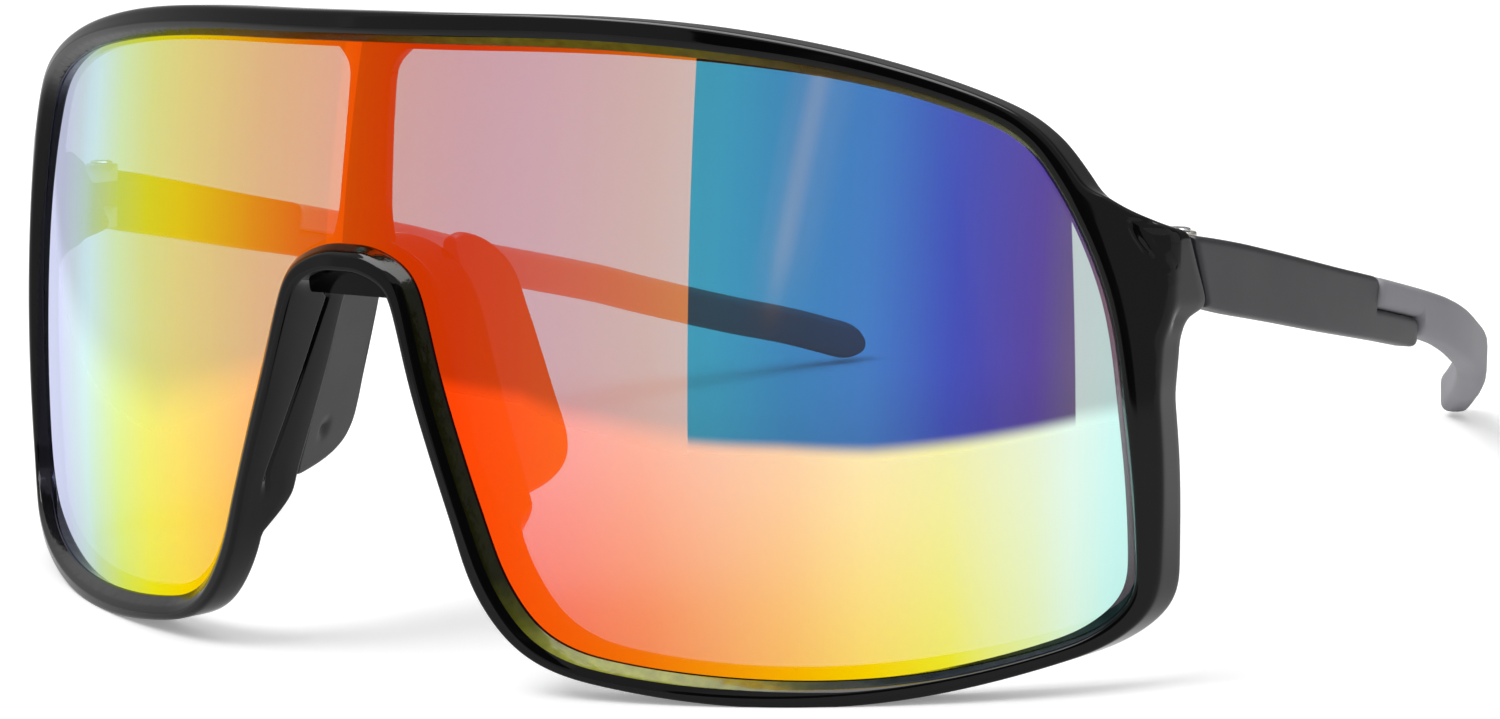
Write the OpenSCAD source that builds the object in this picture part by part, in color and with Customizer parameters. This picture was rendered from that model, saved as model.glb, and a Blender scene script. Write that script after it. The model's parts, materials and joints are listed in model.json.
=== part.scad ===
// Shield sunglasses: one curved lens held in the groove of a full-rim moulded front,
// with a centre post behind the lens, a nose flange with two separate pads, and two
// folding temples that end in soft curled tips. Every piece is a solid of its own.
// The glasses stand as they do on a table: on the bottoms of the rim and the temple tips.
// X runs across the face towards the wearer's left, Y from the front to the back, Z up.
// Pieces are drawn as worn, with the front of the lens at the origin, and then stood down.

/* [Lens] */
// Width of the lens opening across the face
opening_w = 133.5; // [120:0.5:142]
// Height of the lens opening from its top to its lowest edge
opening_h = 56; // [50:0.5:60]
// Radius of the lens around the face
wrap_r = 92; // [86:0.5:110]
// Radius of the lens from its top to its bottom
crown_r = 245; // [200:1:400]
// Height of the lens's foremost level over the lowest edge of the opening
waist_h = 25.2; // [20:0.1:32]
// Thickness of the lens, from its front straight back
lens_t = 1.3; // [1:0.1:1.6]
// Depth of the groove that holds the edge of the lens
groove_d = 0.8; // [0.5:0.1:1]
// Gap between the lens and each wall of its groove
groove_gap = 0.1; // [0.05:0.01:0.2]

/* [Rim] */
// Width of the rim over the top of the lens
rim_top_w = 3; // [2.4:0.1:4]
// Width of the rim where it turns down to the endpiece
rim_corner_w = 1.8; // [1.6:0.1:3]
// Width of the rim beside the lens
rim_side_w = 2.2; // [2:0.1:2.6]
// Width of the rim under the lens
rim_bottom_w = 2.1; // [1.9:0.1:3]
// Width of the rim along the nose
rim_nose_w = 2.5; // [2.2:0.1:3]
// How far the rim stands proud of the lens
rim_proud = 1.7; // [1:0.1:2]
// Wall of the rim behind the lens
rim_back_t = 1.3; // [1.2:0.1:2]
// Radius of the back of the rim around the face, over that of the lens
back_wrap_more = 1; // [0.5:0.5:3]
// Width of the back wall that shows through the top of the lens
lip_top_w = 0.7; // [0.4:0.1:1.5]
// Width of the back wall that shows through the side of the lens
lip_side_w = 1.3; // [0.4:0.1:2]
// Width of the back wall that shows through the bottom of the lens
lip_bottom_w = 1.2; // [0.9:0.1:3.2]
// Width of the back wall that shows through the lens beside the nose
lip_nose_w = 1.5; // [1.2:0.1:2.6]
// Width of the centre post behind the lens, at its middle
post_w = 4.2; // [3:0.1:7]
// Thickness of the centre post
post_t = 1; // [0.8:0.1:1.2]

/* [Nose] */
// How far the nose flange reaches back from the front of the lens
flange_y = 7.2; // [6.4:0.1:9]
// Height over the lens's foremost level where the nose flange ends at the top
flange_top_z = 14.2; // [13.6:0.1:16]
// Depth under the lens's foremost level where the nose flange ends at the bottom
flange_low_z = 15; // [13:0.1:18]
// How far each nose pad reaches back behind the flange
pad_reach = 8.6; // [6:0.1:11]
// Thickness of a nose pad
pad_t = 1.8; // [1.4:0.1:2.4]
// Height of a nose pad
pad_h = 25.4; // [20:0.1:27]
// Gap between the flange and a nose pad
pad_gap = 0.15; // [0.1:0.05:0.3]
// Height of the tongue that plugs a nose pad into the flange
tongue_h = 4; // [3:0.1:6]
// Depth of that tongue
tongue_d = 2.2; // [1.6:0.1:3]
// Thickness of that tongue
tongue_t = 1; // [0.8:0.1:1.2]
// Height of the window in the flange where the tongue shows
window_h = 2; // [1.2:0.1:2.6]

/* [Endpieces and hinges] */
// Distance from the middle plane to the outside of an endpiece
end_x = 69.5; // [68.5:0.1:72]
// Height of an endpiece at its hinge
end_h = 7.4; // [6.4:0.1:9]
// Height of the middle of the hinge over the lens's foremost level
hinge_z = 12; // [10:0.1:13]
// Distance from the outside of an endpiece in to the hinge axis
hinge_in = 3.4; // [3.2:0.1:4]
// Distance from the front of an endpiece back to the hinge axis
hinge_back = 7.74; // [7:0.01:10]
// Slant of the joint between an endpiece and its temple, back over its height
joint_slant = 4.2; // [2:0.1:5]
// Gap between an endpiece and its temple
joint_gap = 0.35; // [0.2:0.05:0.6]
// Outer radius of the hinge barrel
barrel_r = 1.75; // [1.5:0.05:2]
// Gap around the hinge barrel in the endpiece and in the temple
barrel_gap = 0.25; // [0.15:0.05:0.4]
// Radius of the hinge screw
screw_r = 0.6; // [0.5:0.05:0.8]
// Running gap around the hinge screw
screw_gap = 0.03; // [0.02:0.01:0.08]
// Gap between neighbouring knuckles
knuckle_gap = 0.06; // [0.04:0.01:0.15]
// Thickness of a hinge leaf
leaf_t = 1.2; // [0.9:0.1:1.4]
// Length of the front leaf from the hinge axis
front_leaf_l = 6.6; // [5.6:0.1:8]
// Length of the temple leaf from the hinge axis
temple_leaf_l = 9; // [6:0.1:14]
// Radius of the head of the hinge screw
head_r = 1.2; // [1:0.05:1.5]
// Height of the head of the hinge screw
head_h = 0.45; // [0.3:0.05:0.8]

/* [Temples] */
// Length of a temple from the hinge axis to the end of its tip, along Y
temple_l = 119; // [110:1:135]
// How far the end of the tip curls in from the outside of the endpiece
tip_in = 26.5; // [22:0.5:33]
// How far the end of the tip lies below the hinge
tip_drop = 24.8; // [22:0.1:28]
// Height of the temple arm at its hinge
arm_h = 6.9; // [6.2:0.1:8]
// Thickness of the temple arm
arm_t = 2.6; // [2.2:0.1:3.2]
// Height of the soft tip
sleeve_h = 4.8; // [4.2:0.1:5.6]
// Thickness of the soft tip
sleeve_t = 3.4; // [3:0.1:4.2]
// Height of the arm's stem inside the soft tip
stem_h = 1.8; // [1.4:0.1:2.4]
// Height of the middle of the stem over the middle of the arm, at the hinge end
stem_rise = 2.2; // [2:0.1:2.4]
// Thickness of the arm's stem inside the soft tip
stem_t = 1.4; // [1:0.1:1.8]
// Gap between the stem and the soft tip
stem_gap = 0.05; // [0.03:0.01:0.1]
// Depth of the flats that the rim and the tips stand on
flat_d = 0.3; // [0.2:0.05:0.5]

/* [Hidden] */
round_steps = 96;
curve_steps = 4;
arm_steps = 3;
// Overrun of every cut past the faces that it leaves
over = 1;
// Length that reaches past the whole part from any of its pieces
reach = 3 * opening_w;

// Half outline of the lens opening, from the middle of its top, round the side and the bottom,
// up the nose to the middle of the arch: shares of half the width, and of the height
opening_shares = [
    [0, 1], [0.135, 1], [0.347, 1], [0.524, 0.988], [0.694, 0.957], [0.84, 0.895],
    [0.895, 0.83], [0.963, 0.637], [0.992, 0.416], [1, 0.21], [0.989, 0.14], [0.935, 0.087],
    [0.761, 0.021], [0.583, 0], [0.393, 0.019], [0.312, 0.059], [0.258, 0.14], [0.222, 0.249],
    [0.187, 0.365], [0.155, 0.475], [0.132, 0.569], [0.105, 0.637], [0.04, 0.671], [0, 0.672]];
// Width of the rim outside each of those points, with shares where it narrows to the corner
rim_widths = [
    rim_top_w, rim_top_w, rim_top_w, 0.93 * rim_top_w, 0.72 * rim_top_w, rim_corner_w,
    rim_corner_w, 1.55 * rim_side_w, 1.15 * rim_side_w, rim_side_w, 1.1 * rim_side_w, rim_side_w,
    rim_side_w, rim_bottom_w, 0.9 * rim_bottom_w, rim_nose_w, 1.1 * rim_nose_w, rim_nose_w,
    rim_nose_w, rim_nose_w, rim_nose_w, rim_nose_w, rim_nose_w, rim_nose_w];
// Width of the back wall inside each of those points
lip_widths = [
    lip_top_w, lip_top_w, lip_top_w, lip_top_w, lip_top_w, lip_side_w,
    lip_side_w, lip_side_w, lip_side_w, lip_side_w, lip_side_w, lip_bottom_w,
    lip_bottom_w, lip_bottom_w, lip_bottom_w, lip_bottom_w, lip_nose_w, lip_nose_w,
    lip_nose_w, lip_nose_w, lip_nose_w, lip_top_w, lip_top_w, lip_top_w];
// Half width of the centre post at shares of the opening's height, as shares of its own width
post_shares = [
    [0.6, 1.15], [0.66, 0.75], [0.72, 0.56], [0.85, 0.5], [0.97, 0.48], [0.99, 0.75], [1.01, 1.2]];

// Path of the temple's outer face: shares of its length back, and of its tip's curl in
plan_shares = [[-0.1, 0], [0.07, -0.01], [0.19, -0.02], [0.31, -0.02], [0.44, 0.01],
               [0.52, 0.07], [0.6, 0.18], [0.69, 0.32], [0.77, 0.47], [0.85, 0.64],
               [0.93, 0.82], [1, 1]];
// Middle line of the temple: shares of its length back, and of its tip's drop
drop_shares = [[-0.1, -0.06], [0, 0.015], [0.11, 0.1], [0.22, 0.19], [0.33, 0.275], [0.45, 0.375],
               [0.55, 0.48], [0.69, 0.615], [0.75, 0.69], [0.85, 0.81], [0.92, 0.885],
               [0.98, 0.97], [1, 1]];
// Shares of the temple's length where the soft tip starts, where the arm's lower ledge ends,
// and where the stem ends
sleeve_share = 0.29;
ledge_share = 0.385;
stem_share = 0.9;
// Outline of a nose pad seen from the side: shares of its reach and its height
pad_shares = [[-0.3, 0.98], [0.2, 1], [0.55, 0.95], [0.79, 0.85], [0.87, 0.69], [0.91, 0.57],
              [0.96, 0.37], [1, 0.19], [0.9, 0.1], [0.62, 0.04], [0.1, 0], [-0.3, 0.01]];
// Place of the pad's tongue over the foot of the pad, as a share of its height
tongue_share = 0.58;
// Where the rim widens into the endpiece: share of half the width where that starts, and
// its height there and at the outside of the endpiece as shares of the endpiece's height
shoulder_x_share = 0.93;
shoulder_high_share = 0.42;
shoulder_low_share = 0.04;
// Turn of a nose pad outwards with depth, and of its top towards the nose
pad_splay = 9;
pad_lean = 17.6;
// Row of the opening's lowest point, and of its nose edge level with the foot of the pads
low_row = 13;
foot_row = 17;
// Share of the temple's length where its tip touches the table
tip_low_share = 0.97;

half_w = opening_w / 2;
// Radii of the front and of the back of the rim around the face
front_wrap_r = wrap_r + rim_proud;
back_wrap_r = wrap_r + back_wrap_more;
// Depth of the hinge axis: behind the front of the rim where it wraps to the outside
hinge_y = wrap_r - sqrt(front_wrap_r * front_wrap_r - end_x * end_x) + hinge_back;
// Depth of the back of the rim and of the back of the lens's groove, on the middle plane
rim_deep = lens_t + rim_back_t;
groove_back_y = lens_t + groove_gap;
end_back_y = hinge_y - joint_gap / 2;
arm_front_y = hinge_y + joint_gap / 2;
hinge_x = end_x - hinge_in;
shoulder_x = shoulder_x_share * half_w;
end_top_z = hinge_z + end_h / 2;
end_low_z = hinge_z - end_h / 2;
screw_bore_r = screw_r + screw_gap;
knuckle_h = (end_h - 2 * knuckle_gap) / 3;
pad_foot_z = flange_top_z - pad_h;

// Standing: the table touches the bottoms of the rim and of the tips
rim_low_z = -waist_h - rim_bottom_w;
rim_low_x = opening_shares[low_row][0] * half_w;
rim_low_y = rim_deep + back_wrap_r - sqrt(back_wrap_r * back_wrap_r - rim_low_x * rim_low_x);
tip_low_z = hinge_z - tip_drop - sleeve_h / 2;
tip_low_y = hinge_y + tip_low_share * temple_l;
lean = atan2(tip_low_z - rim_low_z, tip_low_y - rim_low_y);
stand_z = rim_low_y * sin(lean) - rim_low_z * cos(lean) - flat_d;
// Half the depth of the glasses, which puts the origin under their middle
stand_y = (hinge_y + temple_l) / 2 - rim_proud;

// Points of a smooth line through the given rows, with the given steps between rows
function seg(p, i) = norm([p[i + 1][0] - p[i][0], p[i + 1][1] - p[i][1]]);
function slope(p, i) = (i == 0) ? (p[1] - p[0]) / seg(p, 0)
    : (i == len(p) - 1) ? (p[i] - p[i - 1]) / seg(p, i - 1)
    : (p[i + 1] - p[i - 1]) / (seg(p, i) + seg(p, i - 1));
function blend(a, b, ma, mb, d, t) =
    a * (2 * t * t * t - 3 * t * t + 1) + ma * d * (t * t * t - 2 * t * t + t)
    + b * (3 * t * t - 2 * t * t * t) + mb * d * (t * t * t - t * t);
function smooth(p, steps) = [
    for (i = [0 : len(p) - 2])
        for (k = [0 : steps - 1])
            blend(p[i], p[i + 1], slope(p, i), slope(p, i + 1), seg(p, i), k / steps),
    p[len(p) - 1]];

// The half outline with its widths, and the closed outline of both halves moved outwards
half_rows = [for (i = [0 : len(opening_shares) - 1])
    [opening_shares[i][0] * half_w, opening_shares[i][1] * opening_h - waist_h,
     rim_widths[i], lip_widths[i]]];
half_line = smooth(half_rows, curve_steps);
last = len(half_line) - 1;
function outward(i) = let (
        a = half_line[max(i - 1, 0)],
        b = half_line[min(i + 1, last)],
        d = [b[0] - a[0], b[1] - a[1]] / norm([b[0] - a[0], b[1] - a[1]]))
    (i == 0) ? [0, 1] : (i == last) ? [0, -1] : [-d[1], d[0]];
function moved(i, w) = [half_line[i][0] + outward(i)[0] * w, half_line[i][1] + outward(i)[1] * w];
function both(points) = concat(points,
    [for (i = [len(points) - 2 : -1 : 1]) [-points[i][0], points[i][1]]]);
opening_line = both([for (i = [0 : last]) moved(i, 0)]);
groove_line = both([for (i = [0 : last]) moved(i, groove_d + groove_gap)]);
lens_line = both([for (i = [0 : last]) moved(i, groove_d)]);
rim_line = both([for (i = [0 : last]) moved(i, half_line[i][2])]);
lip_line = both([for (i = [0 : last]) moved(i, -half_line[i][3])]);
// Distance of the rim's nose edge from the middle plane, level with the foot of the pads
pad_foot_x = moved(foot_row * curve_steps, half_line[foot_row * curve_steps][2])[0];

// Stands the worn glasses down on the table
module stand() {
    translate([0, -stand_y, stand_z]) rotate([-lean, 0, 0]) children();
}

// What lies over the table
module over_table() {
    intersection() {
        stand() children();
        translate([-reach, -reach, 0]) cube([2 * reach, 2 * reach, reach]);
    }
}

// Mirrors its children to the other side for side -1
module on_side(side) {
    if (side > 0) children();
    else mirror([1, 0, 0]) children();
}

// Prism of an outline seen from the front
module front_prism(points, y0, y1) {
    translate([0, y1, 0]) rotate([90, 0, 0]) linear_extrude(y1 - y0) polygon(points);
}

// Prism of an outline of Y and Z seen from the side
module side_prism(points, x0, x1) {
    translate([x0, 0, 0]) rotate([90, 0, 90]) linear_extrude(x1 - x0) polygon(points);
}

// Barrel that follows the face, with its front at the given depth and its own radius
module barrel(y, r) {
    translate([0, y + r, 0])
        rotate_extrude($fn = round_steps)
            intersection() {
                translate([r - crown_r, 0]) circle(crown_r, $fn = 4 * round_steps);
                translate([0, -opening_h]) square([r + opening_h, 2 * opening_h]);
            }
}

// What a prism of an outline holds between two depths, each with its own radius
module shell_of(points, y0, r0, y1, r1) {
    difference() {
        intersection() {
            front_prism(points, -opening_h, wrap_r);
            barrel(y0, r0);
        }
        barrel(y1, r1);
    }
}

// Post behind the lens, from the top of the rim down to the arch over the nose
module post() {
    side = [for (p = post_shares) [p[1] * post_w, p[0] * opening_h - waist_h]];
    shell_of(concat(side, [for (i = [len(side) - 1 : -1 : 0]) [-side[i][0], side[i][1]]]),
        groove_back_y, wrap_r, groove_back_y + post_t, wrap_r);
}

// Endpiece: the rim widened outwards, and behind it a block with a slanted back that faces
// the temple
module endpiece() {
    difference() {
        intersection() {
            front_prism([
                [shoulder_x, end_top_z + shoulder_high_share * end_h],
                [end_x, end_top_z + shoulder_low_share * end_h],
                [end_x, end_low_z - rim_side_w],
                [shoulder_x, end_low_z - rim_side_w]],
                -opening_h, wrap_r);
            side_prism([
                [0, end_top_z + end_h],
                [hinge_y - 3 * hinge_in, end_top_z + rim_side_w],
                [end_back_y - joint_slant, end_top_z],
                [end_back_y, end_low_z + rim_side_w / 3],
                [end_back_y - rim_side_w / 2, end_low_z],
                [hinge_y - rim_deep - rim_proud, end_low_z - rim_side_w / 3],
                [hinge_y - 3 * hinge_in, end_low_z - rim_side_w],
                [0, end_low_z - rim_side_w]],
                shoulder_x, end_x);
            barrel(-rim_proud, front_wrap_r);
        }
        intersection() {
            barrel(rim_deep, back_wrap_r);
            translate([0, 0, -opening_h]) cube([hinge_x - barrel_r, wrap_r, 2 * opening_h]);
        }
    }
}

// Room for the turning knuckles around the hinge axis
module barrel_room(grow) {
    translate([hinge_x, hinge_y, end_low_z - over])
        cylinder(h = end_h + 2 * over, r = barrel_r + grow, $fn = round_steps);
}

// Nose flange: the rim's nose part drawn straight back
module flange() {
    difference() {
        intersection() {
            front_prism(rim_line, 0, flange_y);
            side_prism([
                [groove_back_y, flange_top_z],
                [flange_y, flange_top_z],
                [flange_y, pad_foot_z],
                [rim_deep + rim_proud, -flange_low_z],
                [groove_back_y, -flange_low_z]],
                -half_w / 4, half_w / 4);
        }
        front_prism(lip_line, -over, flange_y + over);
    }
}

// Tongue on the front of a nose pad, and with growth its room in the flange
module tongue(grow) {
    pad_place()
        translate([pad_t - tongue_t - grow, -tongue_d - grow,
                   tongue_share * pad_h - tongue_h / 2 - grow])
            cube([tongue_t + 2 * grow, tongue_d + over + grow, tongue_h + 2 * grow]);
}

// Window through the flange's nose face, over the tongue
module window() {
    pad_place()
        translate([-over, -tongue_d / 2 - tongue_t / 2,
                   tongue_share * pad_h - window_h / 2])
            cube([pad_t + over, tongue_t, window_h]);
}

module frame_front() {
    color("#141416") over_table() difference() {
        union() {
            difference() {
                union() {
                    shell_of(rim_line, -rim_proud, front_wrap_r, rim_deep, back_wrap_r);
                    for (side = [-1, 1]) on_side(side) endpiece();
                }
                front_prism(lip_line, -opening_h, wrap_r);
            }
            post();
            flange();
        }
        shell_of(opening_line, -rim_proud - over, front_wrap_r + over, lens_t / 2, wrap_r);
        shell_of(groove_line, -groove_gap, wrap_r, groove_back_y, wrap_r);
        for (side = [-1, 1]) on_side(side) {
            barrel_room(barrel_gap);
            front_leaf(end_h + over);
            tongue(pad_gap);
            window();
        }
    }
}

module lens() {
    color([0.95, 0.45, 0.2, 0.6]) stand() shell_of(lens_line, 0, wrap_r, lens_t, wrap_r);
}

// Puts a pad's own corner, at its foot and front on the nose side, where the flange ends
module pad_place() {
    translate([pad_foot_x, flange_y + pad_gap, pad_foot_z])
        rotate([0, -pad_lean, 0]) rotate([0, 0, -pad_splay]) children();
}

module nose_pad(side) {
    color("#2a2a2d") stand() on_side(side) union() {
        intersection() {
            pad_place()
                side_prism(smooth([for (p = pad_shares) [p[0] * pad_reach, p[1] * pad_h]],
                    curve_steps), 0, pad_t);
            translate([-half_w, flange_y + pad_gap, -opening_h])
                cube([opening_w, opening_h, 2 * opening_h]);
        }
        tongue(0);
    }
}

// Leaf of the hinge in the endpiece, on the side of the axis away from the temple
module front_leaf(h) {
    translate([hinge_x - barrel_r, hinge_y - front_leaf_l, hinge_z - h / 2])
        cube([leaf_t, front_leaf_l, h]);
}

// One third of the hinge barrel: 0 is the lowest knuckle
module knuckle(i) {
    translate([hinge_x, hinge_y, end_low_z + i * (knuckle_h + knuckle_gap)])
        cylinder(h = knuckle_h, r = barrel_r, $fn = round_steps);
}

module screw_bore() {
    translate([hinge_x, hinge_y, end_low_z - over])
        cylinder(h = end_h + 2 * over, r = screw_bore_r, $fn = round_steps);
}

module hinge_front(side) {
    color("#8a8a8e") stand() on_side(side) difference() {
        union() {
            for (i = [0, 2]) knuckle(i);
            difference() {
                front_leaf(end_h);
                translate([hinge_x - reach / 2, hinge_y - barrel_r - barrel_gap,
                           end_low_z + knuckle_h])
                    cube([reach, front_leaf_l, knuckle_h + 2 * knuckle_gap]);
            }
        }
        screw_bore();
    }
}

module hinge_screw(side) {
    color("#9a9a9e") stand() on_side(side) union() {
        translate([hinge_x, hinge_y, end_low_z + head_h])
            cylinder(h = end_h - head_h / 2, r = screw_r, $fn = round_steps);
        translate([hinge_x, hinge_y, end_top_z])
            cylinder(h = head_h, r = head_r, $fn = round_steps);
    }
}

// Leaf of the hinge in the temple, sunk into the arm's inner face
module temple_leaf(grow) {
    translate([hinge_x + barrel_r - leaf_t, hinge_y - grow, hinge_z - knuckle_h / 2 - grow])
        cube([leaf_t + grow, temple_leaf_l + 2 * grow, knuckle_h + 2 * grow]);
}

module hinge_temple(side) {
    color("#8a8a8e") stand() on_side(side) difference() {
        union() {
            knuckle(1);
            temple_leaf(0);
        }
        screw_bore();
    }
}

// Outer face of the temple seen from above, and its middle line seen from the side
plan_line = smooth(
    [for (p = plan_shares) [end_x - p[1] * tip_in, hinge_y + p[0] * temple_l]], arm_steps);
drop_line = smooth(
    [for (p = drop_shares) [hinge_y + p[0] * temple_l, hinge_z - p[1] * tip_drop]], arm_steps);

// Points of a line moved to its left by w0 at the start and w1 at the end
function beside(line, w0, w1) = [for (i = [0 : len(line) - 1]) let (
        a = line[max(i - 1, 0)],
        b = line[min(i + 1, len(line) - 1)],
        d = (b - a) / norm(b - a),
        w = w0 + (w1 - w0) * i / (len(line) - 1))
    line[i] + [-d[1], d[0]] * w];
function turned(points) = [for (i = [len(points) - 1 : -1 : 0]) points[i]];

// Upright band that follows the temple seen from above, from one depth under its outer face
// to another
module plan_band(from, to) {
    translate([0, 0, hinge_z - 2 * tip_drop]) linear_extrude(3 * tip_drop)
        polygon(concat(beside(plan_line, from, from), turned(beside(plan_line, to, to))));
}

// Band seen from the side between two edges, from share y0 to share y1 of the temple's length:
// the heights of each edge over the middle line are given at the hinge and at the tip
module drop_band(up0, up1, low0, low1, y0, y1) {
    intersection() {
        side_prism(concat(beside(drop_line, up0, up1), turned(beside(drop_line, low0, low1))),
            0, end_x + arm_t);
        translate([0, hinge_y + y0 * temple_l, hinge_z - 2 * tip_drop])
            cube([end_x + arm_t, (y1 - y0) * temple_l, 3 * tip_drop]);
    }
}

// The temple's front end, parallel to the back of the endpiece
module arm_front_cut() {
    side_prism([
        [arm_front_y - joint_slant, end_top_z],
        [arm_front_y, end_low_z + rim_side_w / 3],
        [arm_front_y, hinge_z - arm_h],
        [arm_front_y + temple_l, hinge_z - 3 * tip_drop],
        [arm_front_y + temple_l, hinge_z + tip_drop],
        [arm_front_y - joint_slant, hinge_z + arm_h]],
        0, end_x + arm_t);
}

// Solid that the soft tip fills: over the ledge first, then round the stem to the end
module sleeve_space(grow) {
    intersection() {
        plan_band(-(sleeve_t - arm_t) / 2 - grow, (sleeve_t + arm_t) / 2 + grow);
        union() {
            drop_band(arm_h / 2 + grow, sleeve_h / 2 + grow, -grow, -grow,
                sleeve_share - grow / temple_l, ledge_share + over / temple_l);
            drop_band(arm_h / 2 + grow, sleeve_h / 2 + grow, arm_h / 2 - sleeve_h, -sleeve_h / 2,
                ledge_share, 1);
        }
    }
}

module stem(grow) {
    intersection() {
        plan_band((arm_t - stem_t) / 2 - grow, (arm_t + stem_t) / 2 + grow);
        drop_band(stem_rise + stem_h / 2 + grow, stem_h / 2 + grow,
            stem_rise - stem_h / 2 - grow, -stem_h / 2 - grow,
            sleeve_share - over / temple_l, stem_share + grow / temple_l);
    }
}

module temple_arm(side) {
    color("#3a3a3e") over_table() on_side(side) difference() {
        union() {
            difference() {
                intersection() {
                    plan_band(0, arm_t);
                    drop_band(arm_h / 2, sleeve_h / 2, -arm_h / 2, -sleeve_h / 2, -0.1, ledge_share);
                    arm_front_cut();
                }
                sleeve_space(stem_gap);
            }
            stem(0);
        }
        barrel_room(barrel_gap);
        temple_leaf(stem_gap);
    }
}

module temple_sleeve(side) {
    color("#48484c") over_table() on_side(side) difference() {
        sleeve_space(0);
        stem(stem_gap);
    }
}

frame_front();
lens();
nose_pad(1);  // nose_pad_left
nose_pad(-1);  // nose_pad_right
hinge_front(1);  // hinge_front_left
hinge_front(-1);  // hinge_front_right
hinge_screw(1);  // hinge_screw_left
hinge_screw(-1);  // hinge_screw_right
hinge_temple(1);  // hinge_temple_left
hinge_temple(-1);  // hinge_temple_right
temple_arm(1);  // temple_arm_left
temple_arm(-1);  // temple_arm_right
temple_sleeve(1);  // temple_sleeve_left
temple_sleeve(-1);  // temple_sleeve_right
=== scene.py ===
"""Shield sunglasses: the looks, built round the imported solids.

Every new piece is a surface worked out in millimetres as the glasses are worn, with the
front of the lens at zero, and then stood down on the table where the solids stand.
"""

import json
import math

import bpy
import numpy as np
from mathutils import Matrix


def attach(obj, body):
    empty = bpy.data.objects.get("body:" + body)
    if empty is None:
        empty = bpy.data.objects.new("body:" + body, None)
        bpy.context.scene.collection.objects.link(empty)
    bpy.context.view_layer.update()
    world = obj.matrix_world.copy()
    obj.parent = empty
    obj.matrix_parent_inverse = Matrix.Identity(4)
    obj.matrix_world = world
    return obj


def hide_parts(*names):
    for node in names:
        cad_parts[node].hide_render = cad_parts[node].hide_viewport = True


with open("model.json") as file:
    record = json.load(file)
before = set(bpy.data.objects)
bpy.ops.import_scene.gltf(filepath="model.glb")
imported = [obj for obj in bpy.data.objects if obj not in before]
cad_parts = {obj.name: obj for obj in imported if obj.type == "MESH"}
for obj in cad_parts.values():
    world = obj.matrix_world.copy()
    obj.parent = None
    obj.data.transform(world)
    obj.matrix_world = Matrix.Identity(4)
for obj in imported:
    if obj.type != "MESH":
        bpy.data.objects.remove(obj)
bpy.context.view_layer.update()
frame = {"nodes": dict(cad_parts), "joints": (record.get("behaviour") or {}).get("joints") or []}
scene = bpy.context.scene

# Sizes of the real pieces, in millimetres, the same as in the part's source
OPENING_W = 133.5
OPENING_H = 56
WRAP_R = 92
CROWN_R = 245
WAIST_H = 25.2
LENS_T = 1.3
GROOVE_D = 0.8
RIM_PROUD = 1.7
RIM_DEEP = 2.6
BACK_WRAP_R = 93
GROOVE_GAP = 0.1
FLANGE_Y = 7.2
PAD_FOOT_Z = -11.2
PAD_GAP = 0.15
PAD_REACH = 8.6
PAD_T = 1.8
PAD_H = 25.4
PAD_LEAN = math.radians(17.6)
PAD_SPLAY = math.radians(9)
PAD_FOOT_ROW = 17
POST_W = 4.9
POST_T = 1.4
END_X = 69.5
END_IN_X = 64.35
HINGE_X = 66.1
HINGE_Y = WRAP_R - math.sqrt((WRAP_R + RIM_PROUD)**2 - END_X**2) + 7.74
HINGE_Z = 12
BARREL_ROOM_R = 2
TEMPLE_L = 119
TIP_IN = 26.5
TIP_DROP = 24.8
ARM_H = 6.9
ARM_T = 2.6
SLEEVE_H = 4.8
SLEEVE_T = 3.4
SLEEVE_SHARE = 0.29
LEDGE_SHARE = 0.385
JOINT_SLOPE = 0.63
JOINT_LOW_Z = 9.03
ARM_FRONT_Y = HINGE_Y + 0.175

# Half outline of the lens opening, from the middle of its top to the middle of the arch:
# shares of half the width and of the height, then in millimetres the rim's width outside it
# in front and at the back, the back wall inside it, the bevel, and the gap to the lens's edge
OUTLINE = np.array([
    (0, 1, 3, 3, 0.4, 1.25, 0.15), (0.135, 1, 3, 3, 0.4, 1.4, 0.15), (0.347, 1, 3, 3, 0.35, 1.5, 0.1),
    (0.524, 0.988, 2.79, 2.79, 0.3, 1.4, 0), (0.694, 0.957, 2.3, 2.16, 0.25, 1.3, 0),
    (0.84, 0.895, 2.27, 1.8, 0.2, 1.3, 0), (0.895, 0.83, 2.35, 1.8, 0.2, 1.5, 0.1),
    (0.963, 0.637, 3.2, 2.6, 0.3, 1.5, 0.05), (0.992, 0.416, 3, 2.6, 0.3, 1.3, -0.1),
    (1, 0.21, 2.4, 2.15, 0.3, 1.3, 0), (0.989, 0.14, 2.42, 2.42, 0.4, 1.2, 0.3),
    (0.935, 0.087, 2.2, 2.2, 0.6, 1.2, 0.6), (0.761, 0.021, 2.2, 2.2, 1.1, 1, 0.15),
    (0.583, 0, 2.1, 2.1, 1.2, 1.1, -0.3), (0.393, 0.019, 1.89, 1.89, 1.2, 1.3, -0.3),
    (0.312, 0.059, 2.5, 2.5, 1.35, 1.5, 0), (0.258, 0.14, 2.75, 2.75, 1.5, 1.5, 0),
    (0.222, 0.249, 2.5, 2.5, 1.5, 1.5, 0), (0.187, 0.365, 2.5, 2.5, 1.5, 1.5, 0),
    (0.155, 0.475, 2.5, 2.5, 1.5, 1.5, 0), (0.132, 0.569, 2.5, 2.5, 1.4, 1.4, 0),
    (0.105, 0.637, 2.5, 2.5, 0.8, 1.2, 0), (0.04, 0.671, 2.5, 2.5, 0.7, 1, 0),
    (0, 0.672, 2.5, 2.5, 0.7, 1, 0)])
LAST_ROW = len(OUTLINE) - 1
# Rows between which the outer lines run along the endpiece
END_ROWS = (6.2, 7.85)
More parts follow.
